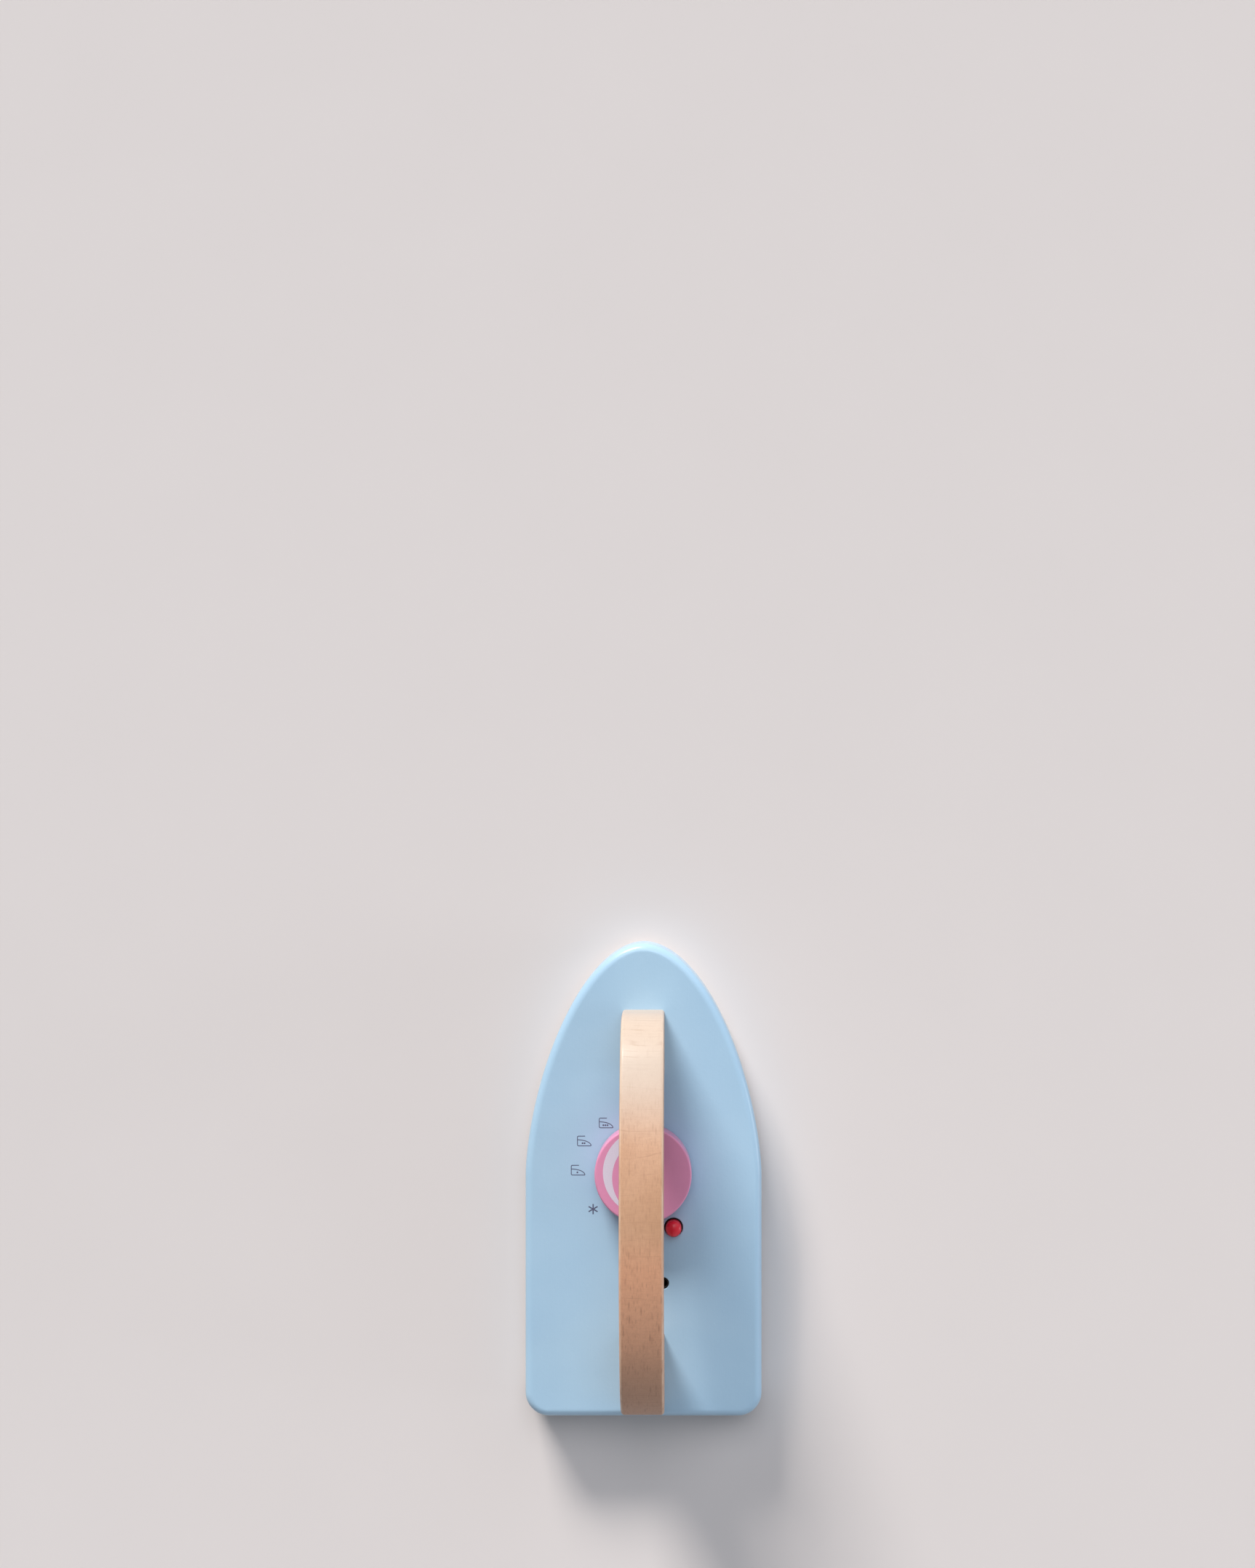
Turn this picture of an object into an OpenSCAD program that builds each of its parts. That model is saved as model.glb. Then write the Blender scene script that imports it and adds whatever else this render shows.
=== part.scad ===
// Toy iron: a painted wooden block on a sole plate, a sawn beech handle,
// a turning dial and a sprung push button. Millimetres, +Y towards the nose,
// +Z up, origin at the centre of the sole plate's underside.

/* [Body] */
// Length of the block from nose to heel
body_l = 180; // [168:1:194]
// Width of the block across its parallel sides
body_w = 90; // [82:1:98]
// Height of the painted block above the sole plate
body_h = 16; // [14:0.5:20]
// Length of the tapered nose
nose_l = 88; // [78:1:98]
// Fullness of the nose across its tip
nose_tip_power = 1.9; // [1.75:0.05:2.2]
// Fullness of the nose along its flanks
nose_flank_power = 1.6; // [1.5:0.05:2]
// Radius of the two heel corners
heel_r = 9; // [8:0.5:14]
// Rounding of the block's top edge
edge_r = 3; // [1.5:0.25:3.75]

/* [Sole plate] */
// Thickness of the sole plate
sole_t = 4; // [3:0.25:6]
// Step of the sole plate inside the block's outline
sole_inset = 0.6; // [0.2:0.1:1.5]
// Rounding of the sole plate's lower edge
sole_edge_r = 1; // [0.5:0.1:1.5]

/* [Handle] */
// Width of the handle from side to side
handle_t = 16; // [14:0.5:18]
// Height of the crown above the block
handle_h = 55; // [50:1:62]
// Front foot's distance behind the tip of the nose
handle_front = 25; // [22:0.5:30]
// Rear foot's distance in front of the heel
handle_rear = 4.5; // [4:0.5:8]
// Length of the front foot on the block
front_foot_l = 24; // [22:0.5:27]
// Length of the rear foot on the block
rear_foot_l = 28; // [25:0.5:32]
// Depth of the grip at the crown
grip_d = 18; // [15:0.5:21]
// Outer radius of the crown
crown_r = 120; // [110:1:150]
// Outer radius of the front bend
front_bend_r = 30; // [26:0.5:33]
// Outer radius of the rear bend
rear_bend_r = 40; // [34:0.5:44]
// Radius of the opening's front corner
front_inner_r = 18; // [14:0.5:20]
// Radius of the opening's rear corner
rear_inner_r = 22; // [18:0.5:26]
// Rounding of the handle's long edges
handle_edge_r = 1.25; // [1:0.25:3]

/* [Dial] */
// Diameter of the dial
dial_d = 36.5; // [32:0.5:38]
// Thickness of the dial
dial_t = 10; // [8:0.5:12]
// Rounding of the dial's upper edge
dial_edge_r = 0.7; // [0.5:0.1:2]
// Dial centre's distance behind the tip of the nose
dial_setback = 86; // [82:0.5:88]
// Diameter of the dial's wooden axle
axle_d = 8; // [6:0.5:10]
// Depth of the axle's socket in the dial
axle_socket = 6; // [4:0.5:6.5]
// Diameter of the felt ring under the dial
felt_d = 26; // [20:0.5:30]
// Thickness of the felt ring
felt_t = 0.8; // [0.5:0.1:1.4]

/* [Button] */
// Diameter of the push button
button_d = 6; // [5:0.1:6.4]
// Height of the button's tip above the block
button_proud = 5; // [4:0.25:6]
// Height of the button's domed tip
button_dome = 1.9; // [1:0.1:2.4]
// Wall of the black sleeve round the button
sleeve_wall = 0.45; // [0.4:0.05:0.8]
// Button's distance to the right of the centre line
button_x = 11.4; // [11:0.1:13]
// Button's distance behind the tip of the nose
button_setback = 107.7; // [106:0.1:111]
// Depth of the well that holds the button's flange and spring
button_well = 9; // [8.5:0.25:10]
// Wire diameter of the button's spring
wire_d = 0.5; // [0.4:0.05:0.7]
// Turns of the button's spring
spring_turns = 4; // [3:0.5:4.5]

/* [Vent] */
// Outer diameter of the black vent eyelet
vent_d = 4.3; // [3.6:0.1:5]
// Wall of the vent eyelet
vent_wall = 0.6; // [0.4:0.05:0.8]
// Depth of the vent eyelet in the block
vent_deep = 8; // [6:0.5:10]
// Vent's distance to the right of the centre line
vent_x = 7.5; // [7:0.1:10]
// Vent's distance behind the tip of the nose
vent_setback = 129; // [125:0.5:134]

/* [Fasteners] */
// Shank diameter of the two handle screws
screw_d = 4; // [3:0.5:5]
// Length of the handle screws under the head
screw_l = 35; // [30:1:38]
// Diameter of the two handle dowels
dowel_d = 6; // [5:0.5:8]
// Length of each dowel in the block
dowel_in_body = 8; // [6:0.5:10]
// Length of each dowel in the handle
dowel_in_handle = 16; // [12:0.5:18]
// Shank diameter of the four sole plate screws
sole_screw_d = 3; // [2.5:0.25:3.5]
// Length of the sole plate screws
sole_screw_l = 12; // [10:0.5:14]
// Shank diameter of the screw in the dial's axle
axle_screw_d = 3; // [2.5:0.25:3.5]
// Length of the axle screw under the head
axle_screw_l = 11; // [9:0.5:12]

/* [Hidden] */
$fn = 96;

// Overrun of every cut past the face that it opens
overrun = 1;
// Glue line round dowels, eyelets and screw threads, on the radius
glue_gap = 0.05;
// Running clearance of turning and sliding pieces, on the radius
run_gap = 0.08;
// End clearance of pieces that move against each other
end_gap = 0.1;

// Places along the iron
nose_y = body_l / 2;
heel_y = -body_l / 2;
half_w = body_w / 2;
top_z = sole_t + body_h;
dial_y = nose_y - dial_setback;
button_at = [button_x, nose_y - button_setback];
vent_at = [vent_x, nose_y - vent_setback];

// Outline of the block
taper_y = nose_y - nose_l;
heel_c = [half_w - heel_r, heel_y + heel_r];
heel_steps = 8;
nose_steps = 28;
rim_steps = 5;

// Side outline of the handle: the bends are tangent to the crown and to the feet
front_y = nose_y - handle_front;
rear_y = heel_y + handle_rear;
crown_c = [(front_y + rear_y) / 2, top_z + handle_h - crown_r];
front_in_y = front_y - front_foot_l;
rear_in_y = rear_y + rear_foot_l;
outer_line = side_line(front_y, rear_y, crown_r, front_bend_r, rear_bend_r);
inner_line = side_line(front_in_y, rear_in_y, crown_r - grip_d, front_inner_r, rear_inner_r);
arc_steps = [10, 16, 12];
corner_steps = 4;

// Handle fasteners: places along each foot, from its outer end
screw_share = 0.3;
dowel_share = 0.72;
screw_ys = [front_y - screw_share * front_foot_l, rear_y + screw_share * rear_foot_l];
dowel_ys = [front_y - dowel_share * front_foot_l, rear_y + dowel_share * rear_foot_l];
screw_head_d = 2 * screw_d;
screw_head_h = 0.65 * screw_d;
screw_washer_d = 2.25 * screw_d;
screw_washer_t = 0.8;
screw_well = 5;

// Sole plate screws: places as shares of half the width and half the length
sole_screw_shares = [[0.49, 0.58], [0.75, -0.84]];
sole_head_d = 1.9 * sole_screw_d;
sole_head_h = 0.5 * sole_screw_d;
sole_head_sink = 0.2;

// Dial bearing
dial_z = top_z + felt_t + end_gap;
dial_foot_r = 0.6;
felt_gap = 0.6;
felt_bore = axle_d + 2 * felt_gap;
retainer_well = 6;
retainer_lip = 4;
retainer_room = 2;
retainer_d = axle_d + 2 * retainer_lip;
retainer_well_d = retainer_d + 2 * retainer_room;
retainer_t = 1.2;
retainer_gap = 0.2;
axle_z = sole_t + retainer_well - retainer_gap;
axle_head_d = 2 * axle_screw_d;
axle_head_h = 0.65 * axle_screw_d;

// Button stack, from the mouth of the sleeve down to the sole plate
sleeve_bore = button_d + 2 * run_gap;
sleeve_d = sleeve_bore + 2 * sleeve_wall;
sleeve_sink = 0.1;
sleeve_lip = 2;
sleeve_flange_d = sleeve_d + 2 * sleeve_lip;
sleeve_flange_t = 1.5;
well_z = sole_t + button_well;
flange_lip = 1.5;
flange_d = button_d + 2 * flange_lip;
flange_t = 1.5;
flange_z = well_z - sleeve_flange_t - end_gap - flange_t;
pilot_step = 0.8;
pilot_d = button_d - 2 * pilot_step;
pilot_h = 1.4;
spring_r = pilot_d / 2 + run_gap + wire_d;
spring_low = sole_t + wire_d / 2 + end_gap;
spring_high = flange_z - wire_d / 2 - end_gap;

// Spring mesh
ring_sides = 6;
rings_a_turn = 12;

// Vent
vent_floor = 1;

// Screw details
tip_share = 0.18;
slot_share = 0.62;
slot_w_share = 0.3;
slot_deep_share = 0.45;

// Colours
paint_blue = [0.66, 0.79, 0.89];
beech = [0.87, 0.7, 0.55];
dial_pink = [0.91, 0.57, 0.71];
button_red = [0.84, 0.15, 0.2];
plastic_black = [0.05, 0.05, 0.06];
sole_grey = [0.78, 0.79, 0.8];
steel = [0.7, 0.71, 0.72];
felt_white = [0.9, 0.89, 0.86];

// Height of a bend's centre, for a bend of radius r about y under a crown of radius top_r
function bend_z(y, r, top_r) = crown_c.y + sqrt((top_r - r) ^ 2 - (y - crown_c.x) ^ 2);

// Point of the nose at turn a from its flank, a superellipse, stepped inwards square to it
function nose_point(a, step) =
    let(
        across = half_w * cos(a) ^ (2 / nose_tip_power),
        along = nose_l * sin(a) ^ (2 / nose_flank_power),
        slope_x = nose_tip_power / half_w * cos(a) ^ (2 - 2 / nose_tip_power),
        slope_y = nose_flank_power / nose_l * sin(a) ^ (2 - 2 / nose_flank_power)
    )
    [across, taper_y + along] - step * [slope_x, slope_y] / norm([slope_x, slope_y]);

// Right half of the block's outline, from the heel to just short of the tip
function half_plan(step) = concat(
    [
        for (i = [0 : heel_steps])
            let(a = 90 * (i / heel_steps - 1))
            heel_c + (heel_r - step) * [cos(a), sin(a)]
    ],
    [for (i = [0 : nose_steps - 1]) nose_point(90 * i / nose_steps, step)]
);

// Whole outline at height z, stepped inwards
function plan_ring(step, z) =
    let(right = half_plan(step))
    concat(
        [for (p = right) [p.x, p.y, z]],
        [[0, nose_y - step, z]],
        [for (i = [len(right) - 1 : -1 : 0]) [-right[i].x, right[i].y, z]]
    );

// Slab with the iron's outline, stepped in by inset, its upper edge rounded
module plan_slab(inset, h, round_r) {
    rim = [
        for (i = [0 : rim_steps])
            let(a = 90 * i / rim_steps)
            plan_ring(inset + round_r * (1 - cos(a)), h - round_r * (1 - sin(a)))
    ];
    loft(concat([plan_ring(inset, 0)], rim));
}

// Side line of the handle or of its opening: [front bend, crown, rear bend] as [centre, radius, a0, a1]
function side_line(front, rear, top_r, front_r, rear_r) =
    let(
        front_c = [front - front_r, bend_z(front - front_r, front_r, top_r)],
        rear_c = [rear + rear_r, bend_z(rear + rear_r, rear_r, top_r)],
        front_a = atan2(front_c.y - crown_c.y, front_c.x - crown_c.x),
        rear_a = atan2(rear_c.y - crown_c.y, rear_c.x - crown_c.x)
    )
    [[front_c, front_r, 0, front_a], [crown_c, top_r, front_a, rear_a], [rear_c, rear_r, rear_a, 180]];

// Points along a side line from the front foot over the crown to the rear foot
function side_points(front, rear, line) = concat(
    [[front, top_z]],
    [
        for (k = [0 : 2], i = [k == 0 ? 0 : 1 : arc_steps[k]])
            let(a = line[k][2] + i * (line[k][3] - line[k][2]) / arc_steps[k])
            line[k][0] + line[k][1] * [cos(a), sin(a)]
    ],
    [[rear, top_z]]
);

// Rounded cross-section of the handle between a point of its outer line and one of its opening
function bar_ring(outer, inner) =
    let(up = (outer - inner) / norm(outer - inner), mid = (outer + inner) / 2)
    let(high = norm(outer - inner) / 2 - handle_edge_r, wide = handle_t / 2 - handle_edge_r)
    [
        for (corner = [0 : 3], i = [0 : corner_steps])
            let(
                a = 90 * (corner + i / corner_steps),
                x = wide * (corner == 0 || corner == 3 ? 1 : -1) + handle_edge_r * cos(a),
                d = high * (corner < 2 ? 1 : -1) + handle_edge_r * sin(a)
            )
            [x, mid.x + d * up.x, mid.y + d * up.y]
    ];

// Solid through rings of equally many points
module loft(rings) {
    n = len(rings[0]);
    last = (len(rings) - 1) * n;
    points = [for (ring = rings) each ring];
    walls = [
        for (i = [0 : len(rings) - 2], k = [0 : n - 1])
            let(a = i * n + k, b = i * n + (k + 1) % n)
            each [[a, b, a + n], [b, b + n, a + n]]
    ];
    ends = [[for (k = [n - 1 : -1 : 0]) k], [for (k = [0 : n - 1]) last + k]];
    polyhedron(points, concat(walls, ends));
}

// Round-headed wood screw standing on its head, bearing face at zero
module pan_screw(d, l, head_d, head_h) {
    tip = tip_share * l;
    difference() {
        translate([0, 0, -head_h]) cylinder(d = head_d, h = head_h);
        cross_slot(head_d, head_h, -head_h);
    }
    cylinder(d = d, h = l - tip);
    translate([0, 0, l - tip]) cylinder(d1 = d, d2 = d * tip_share, h = tip);
}

// Countersunk wood screw standing on its head, head face at zero
module flat_screw(d, l, head_d, head_h) {
    tip = tip_share * l;
    difference() {
        cylinder(d1 = head_d, d2 = d, h = head_h);
        cross_slot(head_d, head_h, 0);
    }
    translate([0, 0, head_h]) cylinder(d = d, h = l - tip - head_h);
    translate([0, 0, l - tip]) cylinder(d1 = d, d2 = d * tip_share, h = tip);
}

// Cross slot cut into a screw head from its outer face at z
module cross_slot(head_d, head_h, z) {
    long = slot_share * head_d;
    wide = slot_w_share * long;
    deep = slot_deep_share * head_h;
    for (turn = [0, 90]) rotate(turn)
        translate([-long / 2, -wide / 2, z - overrun]) cube([long, wide, deep + overrun]);
}

module at_sole_screws() {
    for (share = sole_screw_shares, side = [-1, 1])
        translate([side * share.x * half_w, share.y * nose_y, 0]) children();
}

module body() {
    color(paint_blue) difference() {
        translate([0, 0, sole_t]) plan_slab(0, body_h, edge_r);
        for (y = screw_ys) translate([0, y, sole_t - overrun]) {
            cylinder(d = screw_d + 2 * glue_gap, h = body_h + 2 * overrun);
            cylinder(d = screw_washer_d + 2 * end_gap, h = screw_well + overrun);
        }
        for (y = dowel_ys) translate([0, y, top_z - dowel_in_body])
            cylinder(d = dowel_d + 2 * glue_gap, h = dowel_in_body + overrun);
        at_sole_screws() translate([0, 0, sole_t - overrun])
            cylinder(d = sole_screw_d + 2 * glue_gap, h = sole_screw_l - sole_t + 2 * overrun);
        translate([0, dial_y, sole_t - overrun]) {
            cylinder(d = axle_d + 2 * run_gap, h = body_h + 2 * overrun);
            cylinder(d = retainer_well_d, h = retainer_well + overrun);
        }
        translate([button_at.x, button_at.y, sole_t - overrun]) {
            cylinder(d = sleeve_d + 2 * glue_gap, h = body_h + 2 * overrun);
            cylinder(d = sleeve_flange_d + 2 * glue_gap, h = button_well + overrun);
        }
        translate([vent_at.x, vent_at.y, top_z - vent_deep])
            cylinder(d = vent_d + 2 * glue_gap, h = vent_deep + overrun);
    }
}

module sole_plate() {
    color(sole_grey) difference() {
        translate([0, 0, sole_t]) rotate([0, 180, 0]) plan_slab(sole_inset, sole_t, sole_edge_r);
        at_sole_screws() {
            head_r = sole_head_d / 2 + glue_gap;
            shank_r = sole_screw_d / 2 + glue_gap;
            translate([0, 0, -overrun]) cylinder(r = shank_r, h = sole_t + 2 * overrun);
            translate([0, 0, -overrun]) cylinder(r = head_r, h = sole_head_sink + overrun);
            translate([0, 0, sole_head_sink]) cylinder(r1 = head_r, r2 = shank_r, h = sole_head_h);
        }
    }
}

module sole_screws() {
    color(steel) at_sole_screws() translate([0, 0, sole_head_sink])
        flat_screw(sole_screw_d, sole_screw_l - sole_head_sink, sole_head_d, sole_head_h);
}

module handle() {
    outer = side_points(front_y, rear_y, outer_line);
    inner = side_points(front_in_y, rear_in_y, inner_line);
    color(beech) difference() {
        loft([for (i = [0 : len(outer) - 1]) bar_ring(outer[i], inner[i])]);
        for (y = screw_ys) translate([0, y, top_z - overrun])
            cylinder(d = screw_d + 2 * glue_gap, h = screw_l - body_h + screw_well + 2 * overrun);
        for (y = dowel_ys) translate([0, y, top_z - overrun])
            cylinder(d = dowel_d + 2 * glue_gap, h = dowel_in_handle + overrun);
    }
}

module handle_dowels() {
    color(beech) for (y = dowel_ys) translate([0, y, top_z - dowel_in_body + end_gap])
        cylinder(d = dowel_d, h = dowel_in_body + dowel_in_handle - 2 * end_gap);
}

module handle_screws() {
    color(steel) for (y = screw_ys) translate([0, y, sole_t + screw_well - screw_washer_t])
        pan_screw(screw_d, screw_l, screw_head_d, screw_head_h);
}

module handle_screw_washers() {
    color(steel) for (y = screw_ys) translate([0, y, sole_t + screw_well - screw_washer_t]) difference() {
        cylinder(d = screw_washer_d, h = screw_washer_t);
        translate([0, 0, -overrun]) cylinder(d = screw_d + 2 * run_gap, h = screw_washer_t + 2 * overrun);
    }
}

module dial() {
    color(dial_pink) translate([0, dial_y, dial_z]) difference() {
        rotate_extrude() dial_section();
        translate([0, 0, -overrun]) cylinder(d = axle_d + 2 * glue_gap, h = axle_socket + overrun);
    }
}

// Half section of the dial, both edges rounded
module dial_section() {
    r = dial_d / 2;
    translate([0, dial_foot_r]) square([r, dial_t - dial_edge_r - dial_foot_r]);
    square([r - dial_foot_r, dial_t - dial_edge_r]);
    translate([0, dial_foot_r]) square([r - dial_edge_r, dial_t - dial_foot_r]);
    translate([r - dial_edge_r, dial_t - dial_edge_r]) circle(r = dial_edge_r);
    translate([r - dial_foot_r, dial_foot_r]) circle(r = dial_foot_r);
}

module dial_axle() {
    color(beech) translate([0, dial_y, axle_z]) difference() {
        cylinder(d = axle_d, h = dial_z + axle_socket - end_gap - axle_z);
        translate([0, 0, -overrun])
            cylinder(d = axle_screw_d + 2 * glue_gap, h = axle_screw_l - retainer_t + 2 * overrun);
    }
}

module dial_felt() {
    color(felt_white) translate([0, dial_y, top_z]) difference() {
        cylinder(d = felt_d, h = felt_t);
        translate([0, 0, -overrun]) cylinder(d = felt_bore, h = felt_t + 2 * overrun);
    }
}

module retainer_washer() {
    color(steel) translate([0, dial_y, axle_z - retainer_t]) difference() {
        cylinder(d = retainer_d, h = retainer_t);
        translate([0, 0, -overrun]) cylinder(d = axle_screw_d + 2 * run_gap, h = retainer_t + 2 * overrun);
    }
}

module retainer_screw() {
    color(steel) translate([0, dial_y, axle_z - retainer_t])
        pan_screw(axle_screw_d, axle_screw_l, axle_head_d, axle_head_h);
}

module button() {
    tip_z = top_z + button_proud;
    dome_r = ((button_d / 2) ^ 2 + button_dome ^ 2) / (2 * button_dome);
    color(button_red) translate([button_at.x, button_at.y, 0]) {
        translate([0, 0, flange_z - pilot_h]) cylinder(d = pilot_d, h = pilot_h + flange_t);
        translate([0, 0, flange_z]) cylinder(d = flange_d, h = flange_t);
        translate([0, 0, flange_z]) cylinder(d = button_d, h = tip_z - button_dome - flange_z);
        rotate_extrude() intersection() {
            translate([0, tip_z - dome_r]) circle(r = dome_r);
            translate([0, tip_z - button_dome]) square([button_d / 2, button_dome]);
        }
    }
}

module button_sleeve() {
    color(plastic_black) translate([button_at.x, button_at.y, well_z - sleeve_flange_t]) difference() {
        union() {
            cylinder(d = sleeve_d, h = top_z - sleeve_sink - well_z + sleeve_flange_t);
            cylinder(d = sleeve_flange_d, h = sleeve_flange_t);
        }
        translate([0, 0, -overrun]) cylinder(d = sleeve_bore, h = body_h + 2 * overrun);
    }
}

// Point on the spring's centre line after a number of turns
function coil_point(turn) = [
    spring_r * cos(360 * turn),
    spring_r * sin(360 * turn),
    spring_low + (spring_high - spring_low) * turn / spring_turns
];

// Ring of the spring's wire after a number of turns
function coil_ring(turn) = [
    for (i = [0 : ring_sides - 1])
        let(a = 360 * i / ring_sides, p = coil_point(turn), out = [cos(360 * turn), sin(360 * turn), 0])
        p + wire_d / 2 * (cos(a) * out + [0, 0, sin(a)])
];

module button_spring() {
    color(steel) translate([button_at.x, button_at.y, 0])
        loft([for (i = [0 : spring_turns * rings_a_turn]) coil_ring(i / rings_a_turn)]);
}

module vent_eyelet() {
    color(plastic_black) translate([vent_at.x, vent_at.y, top_z - vent_deep]) difference() {
        cylinder(d = vent_d, h = vent_deep - sleeve_sink);
        translate([0, 0, vent_floor]) cylinder(d = vent_d - 2 * vent_wall, h = vent_deep);
    }
}

coil_gap = (spring_high - spring_low) / spring_turns - wire_d;
echo(str("Gap between the turns of the spring: ", coil_gap, " mm"));

body();
sole_plate();
sole_screws();
handle();
handle_dowels();
handle_screws();
handle_screw_washers();
dial();
dial_axle();
dial_felt();
retainer_washer();
retainer_screw();
button();
button_sleeve();
button_spring();
vent_eyelet();
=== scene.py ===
import math

import bpy
import numpy as np
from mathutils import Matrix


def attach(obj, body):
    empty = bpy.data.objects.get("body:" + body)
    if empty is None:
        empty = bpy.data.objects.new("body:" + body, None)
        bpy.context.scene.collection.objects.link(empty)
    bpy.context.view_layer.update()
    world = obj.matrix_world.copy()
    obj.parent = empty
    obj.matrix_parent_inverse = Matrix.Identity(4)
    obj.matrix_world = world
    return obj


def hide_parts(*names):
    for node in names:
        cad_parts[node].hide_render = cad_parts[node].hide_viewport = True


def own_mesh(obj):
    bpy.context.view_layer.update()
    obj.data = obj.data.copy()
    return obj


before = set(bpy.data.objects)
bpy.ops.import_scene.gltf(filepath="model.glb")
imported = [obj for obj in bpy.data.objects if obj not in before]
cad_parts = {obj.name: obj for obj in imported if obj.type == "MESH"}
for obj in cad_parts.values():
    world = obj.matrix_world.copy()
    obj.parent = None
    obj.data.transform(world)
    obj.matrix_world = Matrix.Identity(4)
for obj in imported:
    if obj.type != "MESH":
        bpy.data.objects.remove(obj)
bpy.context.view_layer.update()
scene = bpy.context.scene
mm = 0.001  # sizes below are in millimetres, meshes in metres


# Rings of points become a skin: quads between neighbouring rings, then either
# one flat face on each end or, for a loop, quads from the last ring back to the first.
def ringSkin(rings, loop=False):
    rows, columns = rings.shape[:2]
    at = np.arange(rows * columns).reshape(rows, columns)
    above = np.roll(at, -1, axis=0) if loop else at[1:]
    here = at if loop else at[:-1]
    quads = np.stack([here, np.roll(here, -1, 1), np.roll(above, -1, 1), above], -1)
    ends = [] if loop else [at[0, ::-1].tolist(), at[-1].tolist()]
    return rings.reshape(-1, 3), quads.reshape(-1, 4).tolist() + ends


# Unit directions at those angles, in radians: x = cos a, y = sin a.
def toward(turn):
    return np.stack([np.cos(turn), np.sin(turn)], -1)


# Points on a circle of that radius about centre, between two angles in degrees.
def arc(centre, radius, start, stop, steps):
    return np.asarray(centre) + radius * toward(np.radians(np.linspace(start, stop, steps + 1)))


# Points of a plan, all lifted to one height.
def lifted(plan, height):
    return np.column_stack([plan, np.full(len(plan), height)])


# A flat band between two lines of a plan: at each point its four corners, from inner low to outer low.
def flatBand(inner, outer, low, high):
    corners = [lifted(inner, low), lifted(inner, high), lifted(outer, high), lifted(outer, low)]
    return ringSkin(np.stack(corners, 1))


# A half section of (radius, height) turned about an upright axis: x = r cos a, y = r sin a.
def turned(section, centre, sides, loop=False):
    section = np.asarray(section, float)
    turn = np.linspace(0, 2 * np.pi, sides, endpoint=False)
    across = centre[0] + section[:, :1] * np.cos(turn)
    along = centre[1] + section[:, :1] * np.sin(turn)
    height = np.broadcast_to(section[:, 1:], across.shape)
    return ringSkin(np.stack([across, along, height], -1), loop)


# Several skins in one, each with its face numbers moved past the points before it.
def together(skins):
    starts = np.cumsum([0] + [len(points) for points, faces in skins])
    moved = [np.add(face, start).tolist()
             for (points, faces), start in zip(skins, starts) for face in faces]
    return np.concatenate([points for points, faces in skins]), moved


# A skin in millimetres as an object in metres, at the origin with its place in its mesh.
def newObject(name, skin):
    points, faces = skin
    mesh = bpy.data.meshes.new(name)
    mesh.from_pydata((points * mm).tolist(), [], faces)
    piece = bpy.data.objects.new(name, mesh)
    scene.collection.objects.link(piece)
    return piece


# Takes turned cutters out of a piece with an exact Boolean and keeps the result as its mesh.
def drill(piece, cutters):
    cutter = newObject("cutter", together(cutters))
    cut = piece.modifiers.new("holes", "BOOLEAN")
    cut.object, cut.operation, cut.solver = cutter, "DIFFERENCE", "EXACT"
    bpy.context.view_layer.update()
    graph = bpy.context.evaluated_depsgraph_get()
    drilled = bpy.data.meshes.new_from_object(piece.evaluated_get(graph))
    piece.modifiers.clear()
    piece.data = drilled
    bpy.data.objects.remove(cutter)


# Smooth shading up to the given crease, then the finish, the body it moves with and what it stands for.
def settle(piece, finish, body, standsFor=None, crease=40):
    mesh = piece.data
    mesh.polygons.foreach_set("use_smooth", np.ones(len(mesh.polygons), bool))
    mesh.set_sharp_from_angle(angle=math.radians(crease))
    mesh.materials.clear()
    mesh.materials.append(finish)
    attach(piece, body)
    if standsFor:
        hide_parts(standsFor)
    print("piece:", piece.name, len(mesh.polygons), "faces")


# Screen colour in 0 to 255 to the linear colour that a shader takes, by the sRGB curve.
def seen(red, green, blue):
    share = np.array([red, green, blue]) / 255
    linear = np.where(share <= 0.04045, share / 12.92, ((share + 0.055) / 1.055) ** 2.4)
    return (*linear.tolist(), 1.0)


# Adds a node, sets its options, and sets or links each input that is named or numbered.
def addNode(finish, kind, inputs=None, **options):
    tree = finish.node_tree
    made = tree.nodes.new("ShaderNode" + kind)
    for option, value in options.items():
        setattr(made, option, value)
    for socket, value in (inputs or {}).items():
        if isinstance(value, bpy.types.NodeSocket):
            tree.links.new(value, made.inputs[socket])
        else:
            made.inputs[socket].default_value = value
    return made


# A material whose even values are set on the shader's own sockets.
def newFinish(name, sockets):
    finish = bpy.data.materials.new(name)
    finish.use_nodes = True
    shader = finish.node_tree.nodes["Principled BSDF"]
    for socket, value in sockets.items():
        shader.inputs[socket].default_value = value
    return finish


# Links an output to one of the shader's sockets.
def toShader(finish, socket, output):
    shader = finish.node_tree.nodes["Principled BSDF"]
    finish.node_tree.links.new(output, shader.inputs[socket])


# Object coordinates in millimetres, times one factor or a factor for each axis, then shifted.
def spot(finish, factors, shift=(0, 0, 0)):
    coords = addNode(finish, "TexCoord").outputs["Object"]
    scale = (np.ones(3) * factors / mm).tolist()
    moved = addNode(finish, "Mapping", {"Vector": coords, "Scale": scale, "Location": shift})
    return moved.outputs["Vector"]


# Noise from 0 to 1 with as many features in a millimetre as its factors say.
def grainNoise(finish, factors, detail=2.0, rough=0.5, shift=(0, 0, 0)):
    inputs = {"Vector": spot(finish, factors, shift), "Scale": 1.0, "Detail": detail, "Roughness": rough}
    return addNode(finish, "TexNoise", inputs).outputs["Fac"]


# A number for each point that the mesh carries under that name, or 0 where it carries none.
def meshMark(finish, name):
    return addNode(finish, "Attribute", attribute_name=name).outputs["Fac"]


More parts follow.
